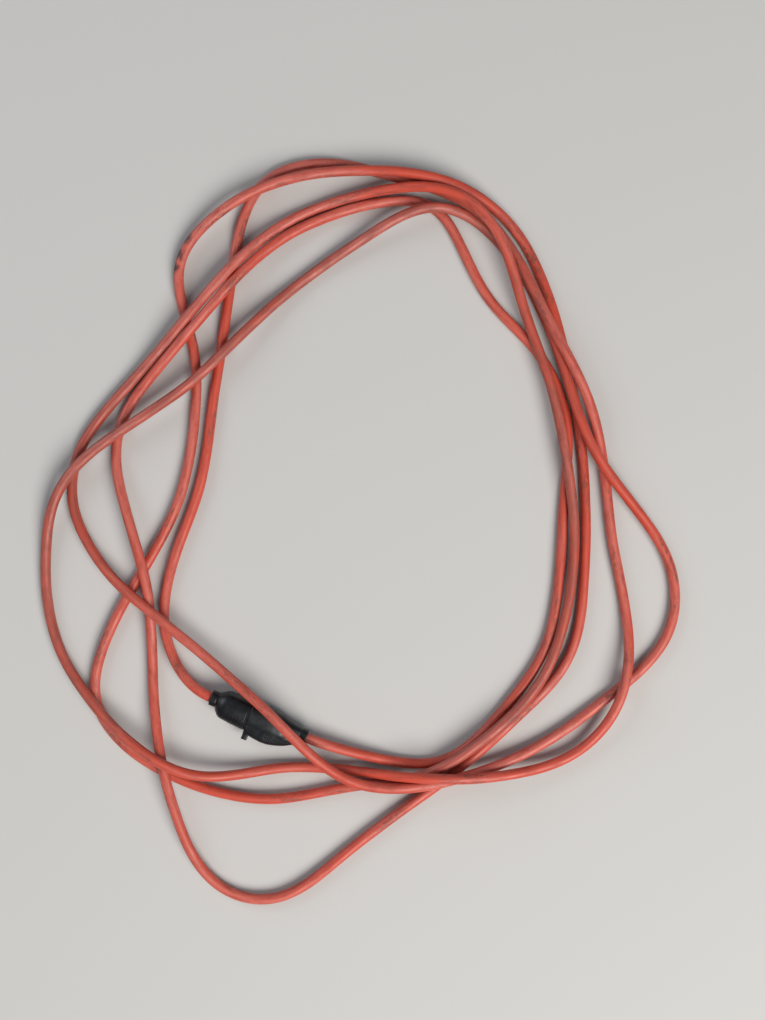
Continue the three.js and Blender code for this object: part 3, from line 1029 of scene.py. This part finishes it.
@dataclass
class Plug:
    """The moulded plug, its blades and its ground pin."""

    matrix: Matrix
    moulded: Material
    plated: Material
    blade_y: float = 3.3
    blade_width: float = 6.35
    blade_thickness: float = 1.5
    blade_z: float = 6.35
    blade_reach: float = 17.5
    pin_y: float = -8.6
    pin_radius: float = 2.4
    pin_reach: float = 20.3
    root: float = -12.6
    nose: float = 1.6
    hole_radius: float = 1.6
    hole_from_root: float = 25.2
    seat: Prism = Prism((-5.3, 1), (-12.9, 8.5), 9.9, 5.3)
    chamber: Prism = Prism((-23.6, -5), (-11.4, 7.4), 9, 4.5)
    bore_radius: float = 4.5
    bore_span: Pair = (-37, -22)
    rib_start: float = -14.8
    rib_radius: float = 0.42
    rib_count: int = 5
    rib_pitch: Triple = (2.7, -0.2, 0.02)
    rib_inner_edge: float = -5.5
    rib_lowest: float = -8
    rib_centre: float = -5
    blade_edge: float = 0.22
    punch_reach: float = 2
    dome_steps: int = 12
    pin_tip_radius: float = 0.02

    def build(self) -> list[Piece]:
        """Makes every piece of the plug, and gives them all."""
        return [
            self.build_body(),
            self.build_ribs(),
            self.build_blade("line_blade", self.blade_z),
            self.build_blade("neutral_blade", -self.blade_z),
            self.build_pin(),
        ]

    def build_body(self) -> Piece:
        """Lofts the moulding and opens its face and its cord bore."""
        body = Moulding(PLUG_SECTIONS).body("plug_moulding")
        bore = bar("bore", self.bore_radius, self.bore_span, 0)
        cut_away(body, self.seat.build("seat"), self.chamber.build("chamber"), bore)
        smooth_shade(body)
        place(dress(body, self.moulded), self.matrix, Body.CORD_AND_PLUG)
        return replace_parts(body, "plug_body")

    def build_ribs(self) -> Piece:
        """Lays finger ribs over the ground side of the barrel."""
        ring = Moulding(PLUG_SECTIONS).ring(self.rib_start)
        arc = [p for p in ring if p.y < self.rib_inner_edge and p.z > self.rib_lowest]
        arc.sort(key=lambda p: math.atan2(p.z, self.rib_centre - p.y))
        ribs = run_tree(
            "plug_finger_ribs",
            line_object("rib_line", arc),
            rib_tree(),
            {
                "Count": self.rib_count,
                "Pitch": self.rib_pitch,
                "Rib radius": self.rib_radius,
                "Material": self.moulded,
            },
        )
        return place(dress(ribs, self.moulded), self.matrix, Body.CORD_AND_PLUG)

    def build_blade(self, name: str, z: float) -> Piece:
        """Stamps one blade, with its lead-in and its round hole.

        Args:
            name: the CAD node that it stands for.
            z: its height in the pair's own frame.

        Returns:
            The blade.
        """
        half, nose, tip = self.blade_width / 2, self.nose, self.blade_reach
        outline = [
            (self.root, -half), (tip - nose, -half), (tip, nose - half),
            (tip, half - nose), (tip - nose, half), (self.root, half),
        ]
        rings = [
            [Vector((x, self.blade_y + y, z + height)) for x, y in outline]
            for height in (-self.blade_thickness / 2, self.blade_thickness / 2)
        ]
        blade = loft(name + "_stamped", rings)
        middle = Vector((self.root + self.hole_from_root, self.blade_y, z))
        section = circle(self.hole_radius)
        punch = [
            [middle + Vector((*point, height)) for point in section]
            for height in (-self.punch_reach, self.punch_reach)
        ]
        cut_away(blade, loft("punch", punch))
        round_edges(blade, self.blade_edge, 2)
        smooth_shade(blade)
        place(dress(blade, self.plated), self.matrix, Body.CORD_AND_PLUG)
        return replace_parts(blade, name)

    def build_pin(self) -> Piece:
        """Draws the round ground pin with its domed nose."""
        radius, straight = self.pin_radius, self.pin_reach - self.pin_radius
        profile = [(self.root, radius)]
        for step in range(self.dome_steps + 1):
            angle = math.radians(90 * step / self.dome_steps)
            height = max(self.pin_tip_radius, radius * math.cos(angle))
            profile.append((straight + radius * math.sin(angle), height))
        rings = [
            [Vector((x, self.pin_y + side, z)) for side, z in circle(across)]
            for x, across in profile
        ]
        pin = loft("ground_pin_drawn", rings)
        smooth_shade(pin)
        place(dress(pin, self.plated), self.matrix, Body.CORD_AND_PLUG)
        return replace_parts(pin, "ground_pin")


@dataclass
class Connector:
    """The moulded connector with its finger grip and key tab."""

    matrix: Matrix
    moulded: Material
    cord_y: float = -2.6
    seat: Prism = Prism((-1, 21.7), (-13.6, 8.6), 9.8, 5.3)
    wire_room: Prism = Prism((21, 29.5), (-11.4, 6.6), 9, 4.4)
    neck: Prism = Prism((29, 35), (-9.6, 4.4), 6.6, 4)
    bore_radius: float = 4.5
    bore_span: Pair = (34, 54)
    key_tab: Prism = Prism((0.4, 5.4), (-23.1, -15), 4, 0.6)
    tab_edge: float = 0.5

    def build(self) -> list[Piece]:
        """Makes the moulding and the tab, and gives them both."""
        return [self.build_body(), self.build_tab()]

    def build_body(self) -> Piece:
        """Lofts the moulding and opens its face, its wire room and its cord bore."""
        body = ConnectorMoulding(CONNECTOR_SECTIONS).body("connector_moulding")
        cut_away(
            body,
            self.seat.build("seat"),
            self.wire_room.build("wire_room"),
            self.neck.build("neck"),
            bar("bore", self.bore_radius, self.bore_span, self.cord_y),
        )
        smooth_shade(body)
        place(dress(body, self.moulded), self.matrix, Body.CONNECTOR)
        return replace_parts(body, "connector_body")

    def build_tab(self) -> Piece:
        """Makes the square key tab at the corner of the face, with rounded edges."""
        tab = self.key_tab.build("key_tab")
        round_edges(tab, self.tab_edge, 3)
        smooth_shade(tab)
        return place(dress(tab, self.moulded), self.matrix, Body.CONNECTOR)


def dress_inner_nodes(frame: dict, nylon: Material, brass: Material) -> None:
    """Gives the carried-over inner pieces their materials.

    Args:
        frame: the loaded frame.
        nylon: for the plug's bridge and the contact carrier.
        brass: for the contacts and the crimps.
    """
    wires = {pole: finish.material() for pole, finish in WIRES.items()}
    jacket = CUT_JACKET.material()
    for name, node in frame["nodes"].items():
        if name in ("plug_bridge", "contact_carrier"):
            chosen = nylon
        elif "_wire_" in name:
            chosen = wires[name.rsplit("_", 1)[1]]
        elif "crimp" in name or "contact" in name:
            chosen = brass
        elif name.endswith("cord_end"):
            chosen = jacket
        else:
            continue
        for slot in node.material_slots:
            slot.material = chosen


# ---- the studio


@dataclass(frozen=True)
class SoftLight:
    """A round soft light that points at the coil, with its power in watts."""

    name: str
    spot: Triple
    size: float
    power: float
    colour: Triple

    def build(self) -> None:
        """Hangs the light."""
        data = bpy.data.lights.new(self.name, "AREA")
        data.shape = "DISK"
        data.size = self.size
        data.energy = self.power
        data.color = self.colour
        light = new_object(self.name, data)
        light.location = self.spot
        light.rotation_euler = (-Vector(self.spot)).to_track_quat("-Z", "Y").to_euler()


@dataclass(frozen=True)
class Studio:
    """A pale floor, soft light from the front right and a camera straight above."""

    height: float = 1.15
    view_height: float = 0.8742
    middle: Pair = (0.018, 0.0201)
    strand_height: float = 0.010
    floor_colour: str = "c4c2be"
    floor_roughness: float = 0.85
    floor_size: float = 25
    lights: tuple[SoftLight, ...] = (
        SoftLight("key_light", (1.5, -2.0, 2.7), 2.5, 156, (1.0, 0.97, 0.94)),
        SoftLight("fill_light", (-2.2, 1.6, 1.7), 2.2, 34, (0.88, 0.94, 1.0)),
    )
    sky_colour: tuple[float, float, float, float] = (0.80, 0.88, 1.0, 1.0)
    sky_strength: float = 0.21

    def build(self) -> None:
        """Sets up the camera, the floor and the lights."""
        self.build_camera()
        self.build_floor()
        for light in self.lights:
            light.build()
        self.build_sky()

    def build_camera(self) -> None:
        """Hangs the camera over the middle of the coil, looking straight down."""
        data = bpy.data.cameras.new("camera")
        data.sensor_fit = "VERTICAL"
        distance = self.height - self.strand_height
        data.angle = 2 * math.atan(self.view_height / 2 / distance)
        camera = new_object("camera", data)
        camera.location = (*self.middle, self.height)
        bpy.context.scene.camera = camera

    def build_floor(self) -> None:
        """Lays a plain pale floor."""
        shape = bmesh.new()
        bmesh.ops.create_grid(shape, x_segments=1, y_segments=1, size=self.floor_size)
        floor = mesh_object("floor", shape)
        material, _, shader = new_material("pale_floor")
        shader.inputs["Base Color"].default_value = linear(self.floor_colour)
        shader.inputs["Roughness"].default_value = self.floor_roughness
        floor.data.materials.append(material)

    def build_sky(self) -> None:
        """Sets a dim sky, and shows colours as they are."""
        scene = bpy.context.scene
        scene.world = bpy.data.worlds.new("sky")
        scene.world.use_nodes = True
        sky = scene.world.node_tree.nodes["Background"]
        sky.inputs["Color"].default_value = self.sky_colour
        sky.inputs["Strength"].default_value = self.sky_strength
        scene.view_settings.view_transform = "Standard"


def main() -> None:
    """Builds the whole scene in order."""
    logging.basicConfig(level=logging.INFO)
    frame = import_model()
    Studio().build()
    cord = Cord()
    stretches = cord.build()
    axis = frame["record"]["behaviour"]["joints"][0]["axis"]
    matrix = PairFrame().matrix(axis)
    moulded = MOULDED.material()
    plug_pieces = Plug(matrix, moulded, PLATED.material()).build()
    cord.declare(plug_pieces)
    connector_pieces = Connector(matrix, moulded).build()
    dress_inner_nodes(frame, NYLON.material(), BRASS.material())
    for piece in (*stretches.values(), *plug_pieces, *connector_pieces):
        LOG.info("%s: %d faces", piece.name, len(piece.data.polygons))


if __name__ == "__main__":
    main()
